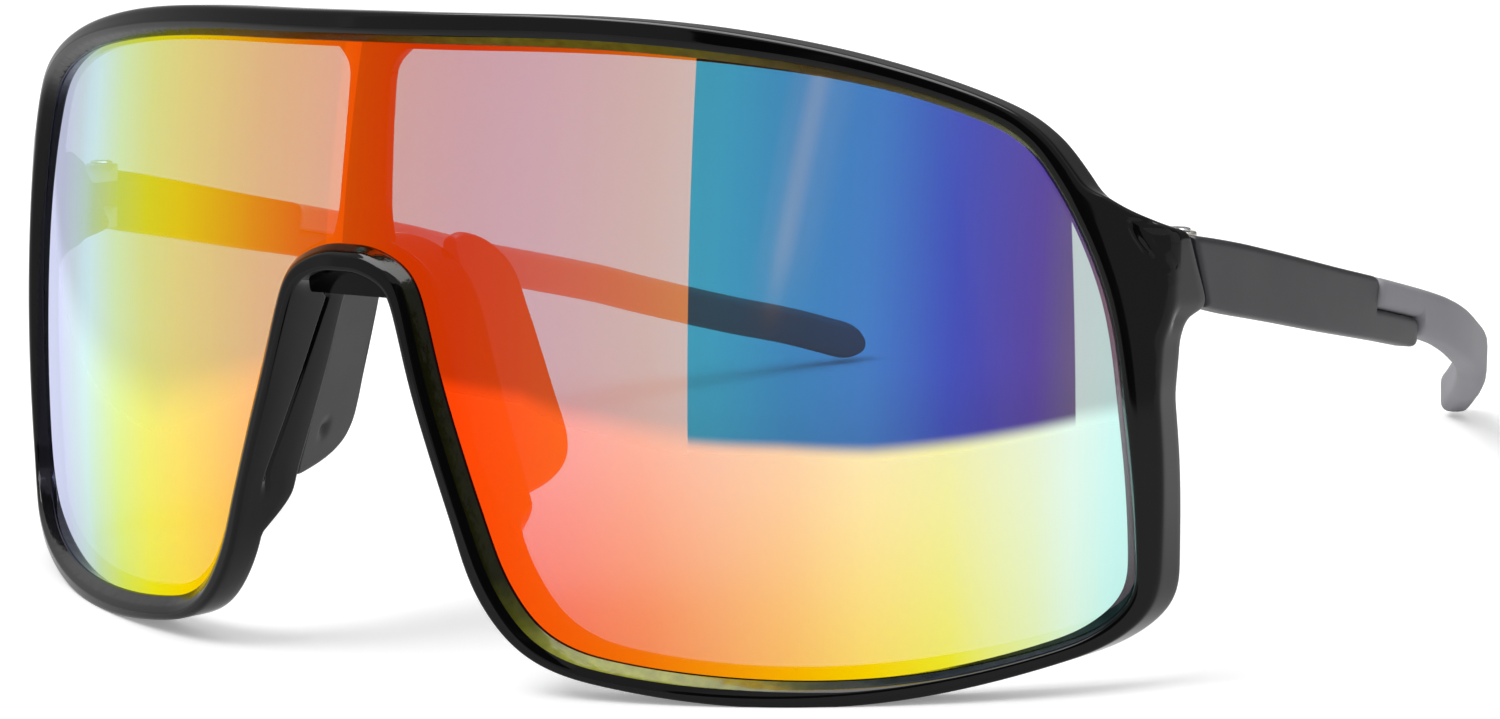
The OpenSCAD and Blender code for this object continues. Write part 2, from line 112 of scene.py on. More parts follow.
# Rows from which and up to which things fade in and out: the endpiece's outer lines, its
# solid back, and the groove and step in the nose wall
END_JOIN = (6.2, 6.4, 7.6, 7.85)
END_SOLID = (6.42, 6.6, 7.46, 7.62)
NOSE_CUT = (16.9, 17.4, 20.3, 20.8)
# Row after which the nose flange can start, and the height at which it does
FLANGE_ROW = 14
FLANGE_LOW_Z = -18
# Outer front edge of the rim along the endpiece: row, X, Z
END_FRONT = np.array([
    (6.2, 63.15, 20.4), (6.3, 64.1, 19.5), (6.4, 65.2, 18.75), (6.5, 66.2, 18), (6.6, 67.2, 17.3),
    (6.68, 68.2, 16.75), (6.75, 69.1, 16.2), (6.82, 69.5, 15.4), (7, 69.5, 12.6), (7.15, 69.5, 10.3),
    (7.27, 69.5, 8.6), (7.36, 69.3, 7.5), (7.46, 69, 6.2), (7.6, 68.95, 4.5), (7.85, 69.1, 0.5)])
# Outer back edge of the endpiece: row, X, Y, Z
END_BACK = np.array([
    (6.2, 61.7, 27.3, 21.3), (6.27, 62.6, 28.1, 19.9), (6.34, 63.4, 28.8, 18.7), (6.42, 64.2, 29.5, 17.6),
    (6.5, 65.2, 30.6, 16.75), (6.6, 66.8, 31.7, 16.2), (6.68, 68.2, 32.2, 15.95), (6.76, 69.3, 32.5, 15.7),
    (6.83, 69.5, 33.2, 15), (7, 69.5, 34.6, 12.5), (7.15, 69.5, 35.9, 10.4), (7.24, 69.5, 36.6, 9.1),
    (7.29, 69.45, 36.5, 8.5), (7.33, 69.35, 35.7, 8.2), (7.39, 69.2, 34.4, 7.8), (7.46, 68.95, 33.4, 7),
    (7.53, 68.75, 33.1, 6), (7.62, 68.7, 33, 4.5), (7.85, 68.85, 33, 0.4)])
# Inner back edge of the endpiece: row, Y, Z
END_INNER = np.array([
    (6.45, 29.6, 17.6), (6.62, 31, 16.7), (6.74, 32.5, 15.7), (7, 34.6, 12.5),
    (7.24, 36.6, 9.1), (7.29, 36.5, 8.45), (7.34, 35.3, 8), (7.42, 32.8, 7.4), (7.5, 31.2, 6.4)])
# Depth of the groove in the nose wall: Z, Y
NOSE_GROOVE = np.array([(-12, 2.3), (-9, 2.5), (-3, 3.2), (7, 4.5), (12, 4.8)])
# The groove's front edge, floor and back edge: share of the wall elsewhere, Y from its middle
# and depth under the wall; and how far the wall steps in behind it
NOSE_STEPS = ((0.35, -0.4, 0.02), (0.45, 0, 0.42), (0.55, 0.4, 0.16))
NOSE_STEP_IN = 0.12

lean_joint = frame["joints"][0]
LEAN = math.atan2(lean_joint["axis"][1], lean_joint["axis"][2])


def spun(a, b, angle):
    """Two coordinates turned by an angle: a cos + b sin, and b cos - a sin."""
    c, s = math.cos(angle), math.sin(angle)
    return a * c + b * s, b * c - a * s


def unit(vectors):
    """Vectors over their own lengths."""
    return vectors / np.linalg.norm(vectors, axis=-1, keepdims=True)


def upright(points):
    """Turns directions or points from the worn frame by the lean, from Y towards Z."""
    x, y, z = np.moveaxis(np.asarray(points, float), -1, 0)
    return np.stack([x, *spun(y, z, LEAN)], -1)


PLACE = np.array(lean_joint["pos_m"]) - upright([HINGE_X, HINGE_Y, HINGE_Z]) / 1000


def stood(points):
    """Millimetres as worn to metres on the table, so that the hinge is where its joint is."""
    return upright(points) / 1000 + PLACE


def along(rows, u):
    """Smooth line through rows at fractional row numbers u. Each tangent is the step between
    a row's two neighbours over the length of the two steps in the first two columns, and
    each span is the cubic with those tangents."""
    step = np.linalg.norm(np.diff(rows[:, :2], axis=0), axis=1)
    slope = np.empty_like(rows)
    slope[0] = (rows[1] - rows[0]) / step[0]
    slope[-1] = (rows[-1] - rows[-2]) / step[-1]
    slope[1:-1] = (rows[2:] - rows[:-2]) / (step[1:] + step[:-1])[:, None]
    i = np.clip(np.floor(u).astype(int), 0, len(rows) - 2)
    t, d = (u - i)[:, None], step[i][:, None]
    return (rows[i] * (2 * t**3 - 3 * t**2 + 1) + slope[i] * d * (t**3 - 2 * t**2 + t)
            + rows[i + 1] * (3 * t**2 - 2 * t**3) + slope[i + 1] * d * (t**3 - t**2))


def table(knots, u):
    """Columns of knots at u, straight between the rows, in the first column's numbers."""
    return np.stack([np.interp(u, knots[:, 0], knots[:, k]) for k in range(1, knots.shape[1])], -1)


def softened(values, width, closed=False):
    """Moving mean of width samples down the first axis, twice over, ends held or joined."""
    sides = [(0, 0)] * (values.ndim - 1)
    for _ in range(2):
        ends = np.pad(values, [(width // 2, width // 2), *sides], "wrap" if closed else "edge")
        total = np.cumsum(np.pad(ends, [(1, 0), *sides]), axis=0)
        values = (total[width:] - total[:-width]) / width
    return values


def fade(values, start, end):
    """0 before start, 1 after end, and smooth in between."""
    t = np.clip((values - start) / (end - start), 0, 1)
    return t * t * (3 - 2 * t)


def stretch(values, start, full, ending, gone):
    """0 before start and after gone, 1 from full to ending, and smooth in between."""
    return fade(values, start, full) * (1 - fade(values, ending, gone))


def mixed(a, b, share):
    """Rows of a for share 0, rows of b for share 1, and even mixes in between."""
    return a * (1 - share[:, None]) + b * share[:, None]


def barrel_y(x, z, y0, r0):
    """Depth of a barrel that follows the face: its waist radius r0 shrinks with height as a
    circle of the crown radius does, and its front is at y0."""
    rho = r0 - CROWN_R + np.sqrt(CROWN_R**2 - z**2)
    return y0 + r0 - np.sqrt(np.maximum(rho**2 - x**2, 1))


# The most of a side that the rounding of one of its corners takes
MOST_CUT = 0.48


def rounded(corners, cuts, arc, spans):
    """Closed sections with their corners rounded. Each corner is replaced by arc points of the
    parabola that starts and ends at its cut length along the two sides, and each side gets
    the given number of points in between. Corners are (sections, corners, 3)."""
    cut = np.broadcast_to(np.asarray(cuts, float), corners.shape[:2])[..., None]
    ends = []
    for way in (1, -1):
        side = np.roll(corners, way, 1) - corners
        length = np.linalg.norm(side, axis=2, keepdims=True) + 1e-9
        ends.append(corners + side / length * np.minimum(cut, MOST_CUT * length))
    a, b = ends
    t = np.linspace(0, 1, arc)[None, None, :, None]
    bends = a[:, :, None] * (1 - t)**2 + corners[:, :, None] * 2 * t * (1 - t) + b[:, :, None] * t**2
    parts = []
    for k in range(corners.shape[1]):
        parts.append(bends[:, k])
        if spans[k]:
            s = np.linspace(0, 1, spans[k] + 2)[1:-1][None, :, None]
            parts.append(b[:, k, None] * (1 - s) + a[:, (k + 1) % corners.shape[1], None] * s)
    return np.concatenate(parts, 1)


def grid_faces(rows, cols, rows_close, cols_close=1):
    """Quads of a grid of vertices. Rows or columns close on themselves for 1, not for 0."""
    at = np.arange(rows * cols).reshape(rows, cols)
    at = np.pad(at, ((0, rows_close), (0, cols_close)), "wrap")
    return np.stack([at[:-1, :-1], at[1:, :-1], at[1:, 1:], at[:-1, 1:]], -1).reshape(-1, 4)


def grown_body(points, closed=False):
    """Grid of closed sections to vertices and faces: quads between sections, and where the
    run is open, a fan to the middle of each end section."""
    rows, cols = points.shape[:2]
    vertices, faces = points.reshape(-1, 3), grid_faces(rows, cols, int(closed)).tolist()
    if not closed:
        last, middle = (rows - 1) * cols, rows * cols
        faces += [(middle, j, (j + 1) % cols) for j in range(cols)]
        faces += [(middle + 1, last + (j + 1) % cols, last + j) for j in range(cols)]
        vertices = np.concatenate([vertices, points[[0, -1]].mean(1)])
    return vertices, faces


def mesh_object(name, points, faces, materials=()):
    """Object in the scene from points in metres."""
    mesh = bpy.data.meshes.new(name)
    mesh.from_pydata(points, [], faces)
    for material in materials:
        mesh.materials.append(material)
    obj = bpy.data.objects.new(name, mesh)
    scene.collection.objects.link(obj)
    return obj


SHARP = 35


def smooth(mesh, sharp=SHARP):
    """Shades a mesh smooth but for edges sharper than an angle in degrees."""
    mesh.polygons.foreach_set("use_smooth", np.ones(len(mesh.polygons), bool))
    mesh.set_sharp_from_angle(angle=math.radians(sharp))


def piece(name, vertices, faces, body, slot, materials, sharp=SHARP, face_materials=None, side=1):
    """Mesh object from millimetres as worn, mirrored to the right for side -1, outwards by the
    sign of its volume, smooth but for sharp edges, stood on the table and riding on its
    body. The volume is summed over the triangles that each face fans into."""
    vertices = np.asarray(vertices, float) * (side, 1, 1)
    obj = mesh_object(name, stood(vertices), faces, materials)
    volume = 0
    for k in (1, 2):
        a, b, c = (vertices[[f[i] for f in faces if len(f) > k + 1]] for i in (0, k, k + 1))
        volume += (a * np.cross(b, c)).sum()
    if volume < 0:
        obj.data.flip_normals()
    if face_materials is not None:
        obj.data.polygons.foreach_set("material_index", np.asarray(face_materials, np.int32))
    smooth(obj.data, sharp)
    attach(obj, body)
    return obj


def drilled(obj, cutters):
    """Takes the cutters out of the piece for good, and marks its sharp edges again."""
    for cutter in cutters:
        cut = obj.modifiers.new("cut", "BOOLEAN")
        cut.operation = "DIFFERENCE"
        cut.solver = "EXACT"
        cut.object = cutter
    bpy.context.view_layer.update()
    mesh = bpy.data.meshes.new_from_object(obj.evaluated_get(bpy.context.evaluated_depsgraph_get()))
    obj.modifiers.clear()
    old, obj.data = obj.data, mesh
    name = old.name
    bpy.data.meshes.remove(old)
    mesh.name = name
    smooth(mesh)


def turned(profile, count=72, side=1):
    """Solid of revolution round a hinge axis: at each radius and height of the profile a
    circle x + r cos a, y + r sin a."""
    a = np.linspace(0, 2 * np.pi, count, endpoint=False)[None, :]
    r, z = np.array(profile, float).T[:, :, None]
    points = np.stack([side * HINGE_X + r * np.cos(a), HINGE_Y + r * np.sin(a), z + 0 * a], -1)
    return grown_body(points)


# Colours and materials


def linear(code):
    """Hex code of an sRGB colour to linear red, green and blue, with an alpha of 1."""
    parts = np.array([int(code[i:i + 2], 16) for i in (1, 3, 5)]) / 255
    return (*np.where(parts <= 0.04045, parts / 12.92, ((parts + 0.055) / 1.055)**2.4), 1)


WHITE = linear("#ffffff")


def new_material(name):
    """Material and its empty node tree."""
    material = bpy.data.materials.new(name)
    material.use_nodes = True
    material.node_tree.nodes.clear()
    return material, material.node_tree


def add(tree, kind, inputs=None, stops=(), **settings):
    """One shader node with its settings and its inputs: values, and sockets that are linked in,
    or nodes for their first sockets. The stops of a colour ramp are positions, each with a
    hex colour or a plain brightness."""
    node = tree.nodes.new("ShaderNode" + kind)
    for key, value in settings.items():
        setattr(node, key, value)
    for key, value in (inputs or {}).items():
        if isinstance(value, (bpy.types.Node, bpy.types.NodeSocket)):
            tree.links.new(getattr(value, "outputs", [value])[0], node.inputs[key])
        else:
            node.inputs[key].default_value = value
    if stops:
        marks = node.color_ramp.elements
        marks.remove(marks[1])
        for k, (position, colour) in enumerate(stops):
            mark = marks[0] if k == 0 else marks.new(position)
            mark.position = position
            mark.color = linear(colour) if isinstance(colour, str) else (colour, colour, colour, 1)
    return node


def per_mm(length):
    """Scale of a pattern whose repeat is the given length in millimetres."""
    return 1000 / length


def moulded(name, colours, roughness, grain_mm, grain_depth, uneven, level=0.5):
    """Moulded plastic or elastomer: a base colour that drifts a little over centimetres, a
    roughness that drifts with handling, and the fine grain of the mould as bump."""
    material, tree = new_material(name)
    place = add(tree, "TexCoord").outputs["Object"]
    drift = add(tree, "TexNoise", {"Scale": per_mm(9), "Detail": 3, "Vector": place})
    grain = add(tree, "TexNoise", {"Scale": per_mm(grain_mm), "Detail": 2, "Vector": place})
    tint = add(tree, "ValToRGB", {"Fac": drift}, ((0.3, colours[0]), (0.7, colours[1])))
    rough = add(tree, "MapRange", {
        "Value": drift, "From Min": 0.3, "From Max": 0.7, "To Min": roughness - uneven,
        "To Max": roughness + uneven})
    bump = add(tree, "Bump", {"Strength": 1.0, "Distance": grain_depth / 1000, "Height": grain})
    shader = add(tree, "BsdfPrincipled", {
        "IOR": 1.5, "Specular IOR Level": level, "Base Color": tint, "Roughness": rough, "Normal": bump})
    add(tree, "OutputMaterial", {"Surface": shader})
    return material


def metal(name, colours, roughness, squeeze, line_mm):
    """Metal with fine lines of tooling: noise squeezed along one axis bumps the surface and
    moves the roughness."""
    material, tree = new_material(name)
    place = add(tree, "TexCoord").outputs["Object"]
    squeezed = add(tree, "Mapping", {"Scale": squeeze, "Vector": place})
    lines = add(tree, "TexNoise", {"Scale": per_mm(line_mm), "Detail": 4, "Vector": squeezed})
    tint = add(tree, "ValToRGB", {"Fac": lines}, ((0, colours[0]), (1, colours[1])))
    rough = add(tree, "MapRange", {"To Min": roughness - 0.08, "To Max": roughness + 0.1, "Value": lines})
    bump = add(tree, "Bump", {"Strength": 0.6, "Distance": 0.00001, "Height": lines})
    shader = add(tree, "BsdfPrincipled", {
        "Metallic": 1.0, "Base Color": tint, "Roughness": rough, "Normal": bump})
    add(tree, "OutputMaterial", {"Surface": shader})
    return material


# Colours of the coating across the lens, by X in millimetres: what it mirrors, and what it
# lets through, which is about the opposite colour
MIRRORED = [(-66, "#dfdfff"), (-52, "#d0d6f0"), (-47, "#d0e3e7"), (-44, "#cee8d4"), (-42, "#cde6ad"),
            (-36, "#ddec59"), (-30, "#f3eb19"), (-24, "#ffdd00"), (-18, "#ffc200"), (-12, "#ff9b00"),
            (-6, "#ff7300"), (0, "#ff5900"), (6, "#ff4500"), (12, "#fc4408"), (18, "#fc5208"),
            (24, "#fc6408"), (30, "#fc7a08"), (36, "#fc9808"), (42, "#ffb800"), (48, "#ffd800"),
            (54, "#f4ee2c"), (60, "#e6f6ac"), (62.5, "#dcf8dc"), (65, "#bef4ea"), (66.6, "#b8f0e8")]
PASSED = [(-66, "#595961"), (-47, "#50505d"), (-44, "#59658e"), (-42, "#6173a8"), (-36, "#506593"),
          (-30, "#274b7e"), (-24, "#004b79"), (-18, "#006179"), (-12, "#00767c"), (-6, "#008981"),
          (0, "#008b89"), (6, "#008e95"), (18, "#008ea1"), (30, "#278e9f"), (36, "#278bab"),
          (42, "#2778ad"), (48, "#306eb5"), (54, "#3040ac"), (60, "#45278e"), (62.5, "#553f6f"),
          (64.5, "#6e5260"), (66.6, "#6a5a62")]


COAT_REACH = 0.068


def across(tree, place, stops):
    """Colour by X over the width of the lens, through the given stops."""
    x = add(tree, "SeparateXYZ", {"Vector": place}).outputs["X"]
    share = add(tree, "MapRange", {"From Min": -COAT_REACH, "From Max": COAT_REACH, "Value": x})
    return add(tree, "ValToRGB", {"Fac": share},
               [((x_mm / 1000 + COAT_REACH) / (2 * COAT_REACH), code) for x_mm, code in stops])


def mirror_coat():
    """Vacuum-coated polycarbonate: thin layers mirror red in the middle through yellow to green
    at the sides, and let the opposite blues through, so the two are added. Less passes low
    down on the lens, as painted shade of the table that is seen through its bottom."""
    material, tree = new_material("vacuum_coated_polycarbonate")
    place = add(tree, "TexCoord").outputs["Object"]
    shine = add(tree, "BsdfGlossy", {"Roughness": 0.015, "Color": across(tree, place, MIRRORED)})
    up = add(tree, "SeparateXYZ", {"Vector": place}).outputs["Z"]
    # Painted shade: what passes falls to 0.3 at the foot of the lens and is full from 3 cm up
    painted_shade_below = add(tree, "MapRange", {"From Min": 0.004, "From Max": 0.03, "To Min": 0.3, "Value": up})
    passed = add(tree, "VectorMath", {0: across(tree, place, PASSED), 1: painted_shade_below},
                 operation="MULTIPLY")
    clear = add(tree, "BsdfTransparent", {"Color": passed})
    both = add(tree, "AddShader", {0: shine, 1: clear})
    add(tree, "OutputMaterial", {"Surface": both})
    return material


def bare_back():
    """Bare inner face of the same lens: clear, with the weak gloss of plain polycarbonate."""
    material, tree = new_material("bare_polycarbonate")
    facing = add(tree, "LayerWeight", {"Blend": 0.5}).outputs["Facing"]
    steep = add(tree, "Math", {1: 5.0, 0: facing}, operation="POWER")
    share = add(tree, "Math", {1: 0.25, 2: 0.02, 0: steep}, operation="MULTIPLY_ADD")
    shine = add(tree, "BsdfGlossy", {"Roughness": 0.03, "Color": WHITE})
    clear = add(tree, "BsdfTransparent", {"Color": WHITE})
    both = add(tree, "MixShader", {0: share, 1: clear, 2: shine})
    add(tree, "OutputMaterial", {"Surface": both})
    return material


def overspray_and_painted_reflection():
    """Overspray of the coating on the polished edge round the lens, greenish gold, with a
    painted reflection in its brightness: bright along the bottom beside the nose, faint
    along the top and black elsewhere. The grain is that of droplets about a millimetre wide."""
    material, tree = new_material("coating_overspray_painted_reflection")
    place = add(tree, "TexCoord").outputs["Object"]
    parts = add(tree, "SeparateXYZ", {"Vector": place}).outputs
    drops = add(tree, "TexNoise", {"Scale": per_mm(1.3), "Detail": 3, "Vector": place})
    side = add(tree, "MapRange", {"From Min": -0.07, "From Max": 0.07, "Value": parts["X"]})
    height = add(tree, "MapRange", {"From Min": 0.0, "From Max": 0.06, "Value": parts["Z"]})
    # Painted reflection: across the lens the edge is painted gold beside the nose, and dark or grey-blue
    # further out
    tint = add(tree, "ValToRGB", {"Fac": side}, (
        (0.38, "#1e1d20"), (0.5, "#50501c"), (0.6, "#b0b43c"), (0.74, "#9ea034"), (0.82, "#3c4028"),
        (0.88, "#2c3438"), (0.96, "#56626a")))
    # Painted reflection: up the lens the edge is painted bright at the bottom, dark up the sides and
    # lighter at the top
    up = add(tree, "ValToRGB", {"Fac": height}, (
        (0, "#ffffff"), (0.06, "#e8e8e8"), (0.11, "#808080"), (0.18, "#303030"), (0.75, "#282828"),
        (0.9, "#707070"), (0.97, "#909090")))
    uneven = add(tree, "ValToRGB", {"Fac": drops}, ((0.3, "#d0d0d0"), (0.7, "#ffffff")))
    for factor in (up, uneven):
        tint = add(tree, "Mix", {"Factor": 1.0, 6: tint, 7: factor}, data_type="RGBA",
                   blend_type="MULTIPLY").outputs[2]
    bump = add(tree, "Bump", {"Distance": 0.00004, "Height": drops})
    shader = add(tree, "BsdfPrincipled", {
        "Roughness": 0.12, "IOR": 1.5, "Specular IOR Level": 0.2, "Base Color": tint, "Normal": bump})
    add(tree, "OutputMaterial", {"Surface": shader})
    return material


# Polished nylon 12, whose deep black mirrors less than its index says; the others are matt
glossy_nylon = moulded("polished_black_nylon", ("#050506", "#070708"), 0.07, 1.6, 0.0012, 0.02, 0.22)
satin_nylon = moulded("satin_black_nylon", ("#28272c", "#2e2d32"), 0.42, 0.35, 0.004, 0.05, 0.4)
# The tips' light grey is partly their own and partly a painted sheen
tip_elastomer_and_painted_sheen = moulded("grey_elastomer_and_painted_sheen", ("#7c7b81", "#86858b"), 0.6, 0.3, 0.005, 0.05)
pad_elastomer = moulded("soft_grey_elastomer", ("#2a2a2d", "#303033"), 0.42, 0.3, 0.004, 0.05, 0.4)
nickel_silver = metal("nickel_silver", ("#a9a59c", "#c9c5bb"), 0.3, (1, 8, 1), 0.6)
blackened_metal = metal("blackened_nickel_silver", ("#39383a", "#4b4a4d"), 0.34, (1, 8, 1), 0.6)
turned_steel = metal("turned_steel", ("#9a9a9c", "#c4c4c8"), 0.28, (1, 1, 10), 0.5)
coated_front = mirror_coat()
# Edge material: the overspray's colour with a painted reflection
edge_overspray_painted_reflection = overspray_and_painted_reflection()
bare_inner = bare_back()

# Front frame: one section carried round the opening

half_u = np.concatenate([np.linspace(0, END_ROWS[0], 84)[:-1], np.linspace(*END_ROWS, 90)[:-1],
                         np.linspace(END_ROWS[1], LAST_ROW, 200)])
opening = OUTLINE * (OPENING_W / 2, OPENING_H, 1, 1, 1, 1, 1) - (0, WAIST_H, 0, 0, 0, 0, 0)
half_rows = along(opening, half_u)


def both_halves(values):
    """The first half, and then it again in reverse without the shared end rows."""
    return np.concatenate([values, values[-2:0:-1]])


ring, ring_u = both_halves(half_rows), both_halves(half_u)
ring_side = np.where(np.arange(len(ring)) < len(half_u), 1, -1)
ring[:, 0] *= ring_side
arch = fade(ring_u, 16, 19)[:, None]
ring[:, :2] = softened(ring[:, :2], 5, True) * (1 - arch) + softened(ring[:, :2], 11, True) * arch
ring[:, 2:] = softened(ring[:, 2:], 11, True)
heading = unit(np.roll(ring[:, :2], -1, 0) - np.roll(ring[:, :2], 1, 0))
outwards = np.stack([-heading[:, 1], heading[:, 0]], -1)
outwards = unit(outwards * (1 - arch) + softened(outwards, 17, True) * arch)


def off(width):
    """Points of the ring moved outwards by a width, as X and Z."""
    return ring[:, :2] + outwards * np.broadcast_to(width, (len(ring),))[:, None]


def at_depth(flat, y):
    """X and Z with a depth in between."""
    return np.stack([flat[:, 0], np.broadcast_to(y, (len(flat),)), flat[:, 1]], -1)


def on_barrel(flat, y0, r0, more=0.0):
    """X and Z laid on a barrel, and moved back by more."""
    return at_depth(flat, barrel_y(flat[:, 0], flat[:, 1], y0, r0) + more)


FRONT_BARREL = (-RIM_PROUD, WRAP_R + RIM_PROUD)
BACK_BARREL = (RIM_DEEP, BACK_WRAP_R)
LENS_BARREL = (0, WRAP_R)


def front_corners():
    """Corners of the section at every point of the ring, from the groove's front wall over
    the bevel, the front face, the outer wall and the back to the groove's back wall."""
    width, back_width, lip, bevel, mouth = ring[:, 2:].T
    groove = GROOVE_D + GROOVE_GAP
    c = {
        "groove_front": on_barrel(off(groove), *LENS_BARREL, -GROOVE_GAP),
        "mouth": on_barrel(off(mouth), *LENS_BARREL, -0.03),
        "wall": on_barrel(off(mouth + 0.03), *LENS_BARREL, -0.22),
        "bevel": on_barrel(off(mouth * 0.42 + bevel * 0.58), *FRONT_BARREL, 0.5),
        "face": on_barrel(off(bevel), *FRONT_BARREL),
        "edge": on_barrel(off(width), *FRONT_BARREL),
        "back": on_barrel(off(back_width), *BACK_BARREL),
        "lip_back": on_barrel(off(-lip), *BACK_BARREL),
        "lip_front": on_barrel(off(-lip), LENS_T + GROOVE_GAP / 2, WRAP_R),
        "groove_back": on_barrel(off(groove), LENS_T + GROOVE_GAP / 2, WRAP_R),
    }
    # The outer lines leave the plain offset along the endpiece
    here = ((ring_u > END_ROWS[0]) & (ring_u < END_ROWS[1]))[:, None]
    join = stretch(ring_u, *END_JOIN)
    front = softened(table(END_FRONT, ring_u), 7, True)
    back = softened(table(END_BACK, ring_u), 3, True)
    for line in (front, back):
        line[:, 0] *= ring_side
    blended = mixed(c["edge"][:, [0, 2]], front, join)
    c["edge"] = np.where(here, on_barrel(blended, *FRONT_BARREL), c["edge"])
    c["back"] = np.where(here, mixed(c["back"], back, join), c["back"])
    # The back between the outer wall and the lip, pushed back by the endpiece or the flange
    inner = c["back"] * 2 / 3 + c["lip_back"] / 3
    foot = c["back"] / 3 + c["lip_back"] * 2 / 3
    end = stretch(ring_u, *END_SOLID)
    end_inner = np.column_stack([END_IN_X * ring_side, table(END_INNER, ring_u)])
    end_foot = on_barrel(end_inner[:, [0, 2]], *BACK_BARREL)
    z = ring[:, 1]
    flange = np.where(ring_u > FLANGE_ROW, fade(z, FLANGE_LOW_Z, PAD_FOOT_Z), 0)
    deep = BACK_BARREL[0] + (FLANGE_Y - BACK_BARREL[0]) * flange
    raised = flange > 0
    c["back"][raised, 1] = np.maximum(c["back"][:, 1], deep)[raised]
    flange_inner = at_depth(off(-lip), np.maximum(c["lip_back"][:, 1], deep))
    flange_foot = (flange_inner + c["lip_back"]) / 2
    inner = mixed(mixed(inner, end_inner, end), flange_inner, flange)
    foot = mixed(mixed(foot, end_foot, end), flange_foot, flange)
    # A narrow groove in the nose wall, where the flange starts, and a step behind it
    cut = stretch(ring_u, *NOSE_CUT)
    edge, back = c["edge"], c["back"]
    groove_y = np.interp(z, NOSE_GROOVE[:, 0], NOSE_GROOVE[:, 1])
    places = [mixed(edge + (back - edge) * share, at_depth(off(width - sink), groove_y + more), cut)
              for share, more, sink in NOSE_STEPS]
    c["back"] = mixed(back, at_depth(off(width - NOSE_STEP_IN), back[:, 1]), cut)
    corners = [c["groove_front"], c["mouth"], c["wall"], c["bevel"], c["face"], c["edge"], *places,
               c["back"], inner, foot, c["lip_back"], c["lip_front"], c["groove_back"]]
    return np.stack(corners, 1)


SECTION_CUTS = (0.05, 0.03, 0.06, 0.25, 0.2, 0.5, 0.12, 0.1, 0.15, 0.35, 0.4, 0.3, 0.35, 0.08, 0.03)
SECTION_SPANS = (0, 0, 0, 1, 36, 1, 0, 0, 1, 4, 1, 1, 1, 0, 0)
# Corners of the section that are rounded more along some rows: corner, millimetres, rows
MORE_ROUND = ((4, 1.3, (5, 6.5, 9.5, 11)), (5, 0.4, (6.1, 6.5, 7.2, 7.4)),
              (5, 1.1, (6.8, 6.95, 7.4, 7.8)), (9, 0.7, (6.2, 6.4, 6.6, 6.75)))
# Points of the section on the bevel that caught the coating's overspray, which carries a painted
# reflection
OVERSPRAY_REFLECTION_POINTS = (13, 14, 15, 16)
# The scoop in the outside of each endpiece: its steep edge and its shallow one, as Z, X, X
SCOOP = np.array([(10.7, 69.5, 69.52), (11.4, 69.1, 69.5), (12.8, 68.2, 69.42), (14.1, 67.35, 69.2),
                  (15.2, 66.75, 68.85), (16, 66.45, 68.4), (16.6, 66.4, 67.9), (17, 66.6, 67.35)])
SCOOP_STEP = 0.18
SCOOP_RISE = 0.15
SCOOP_FALL = 0.3
SCOOP_LOW = 1.4
# The hollow in the outside wall under the endpiece
HOLLOW_D = 0.35
HOLLOW_Z = 8.0
HOLLOW_W = 0.9


def scooped(points):
    """Cuts the corner of the endpieces off in a drop. Inwards from its two edges at each
    height, the depth steps down, rises back over half a millimetre and then grows evenly
    towards the outer corner, behind which it fades out. Under the endpiece the outside wall
    is hollowed by a bell over Z."""
    x, z = np.abs(points[..., 0]), points[..., 2]
    steep, shallow = (np.interp(z, SCOOP[:, 0], SCOOP[:, k]) for k in (1, 2))
    share = np.clip((x - steep) / np.maximum(shallow - steep, 0.01), 0, 1)
    inside = np.minimum(x - steep, SCOOP[-1, 0] - z)
    behind = points[..., 1] - barrel_y(points[..., 0], z, *FRONT_BARREL)
    low = fade(z, SCOOP[0, 0], SCOOP[0, 0] + SCOOP_LOW)
    depth = (SCOOP_STEP * fade(inside, 0, 0.3) - SCOOP_RISE * fade(inside, 0.3, 0.85)
             + SCOOP_FALL * share * fade(inside, 0.8, 1.6)) * (1 - fade(behind, 0.2, 1.6)) * low
    bell = np.exp(-((z - HOLLOW_Z) / HOLLOW_W)**2)
    hollow = HOLLOW_D * bell * fade(x, 66, 67.5) * fade(behind, 0.8, 2.2)
    moved = points.copy()
    moved[..., 0] -= np.sign(points[..., 0]) * (depth * 0.7 + hollow)
    moved[..., 1] += depth * 0.7
    return moved


def front_frame():
    """The rim with its endpieces and nose flange: the rounded section round the ring."""
    corners = front_corners()
    cuts = np.tile(SECTION_CUTS, (len(ring), 1))
    for corner, more, rows in MORE_ROUND:
        cuts[:, corner] += more * stretch(ring_u, *rows)
    points = scooped(rounded(corners, cuts, 5, SECTION_SPANS))
    # Faces on the bevel take the overspray with its painted reflection
    coated = np.isin(np.arange(points.shape[1]), OVERSPRAY_REFLECTION_POINTS).astype(int)
    return *grown_body(points, closed=True), np.tile(coated, len(ring))


def flattened(vertices):
    """Worn millimetres with what would go under the table pressed flat on it."""
    on_table = stood(vertices)
    on_table[:, 2] = np.maximum(on_table[:, 2], 0)
    x, y, z = ((on_table - PLACE) * 1000).T
    return np.stack([x, *spun(y, z, -LEAN)], -1)


vertices, faces, coated = front_frame()
rim = piece("rim_with_endpieces", flattened(vertices), faces, "front", "frame",
            [glossy_nylon, edge_overspray_painted_reflection], face_materials=coated)
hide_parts("frame_front")
BARREL_ROOM = ((BARREL_ROOM_R, 7), (BARREL_ROOM_R, 18))
cutters = []
for side in (1, -1):
    room, faces = turned(BARREL_ROOM, 64, side)
    cutters.append(mesh_object("knuckle_room", stood(room), faces))
drilled(rim, cutters)

# Centre post behind the lens
POST = np.array([(0.585, 1.25), (0.62, 1.05), (0.66, 0.75), (0.72, 0.56), (0.85, 0.5), (0.96, 0.48),
                 (0.985, 0.62), (1.005, 1.1)])


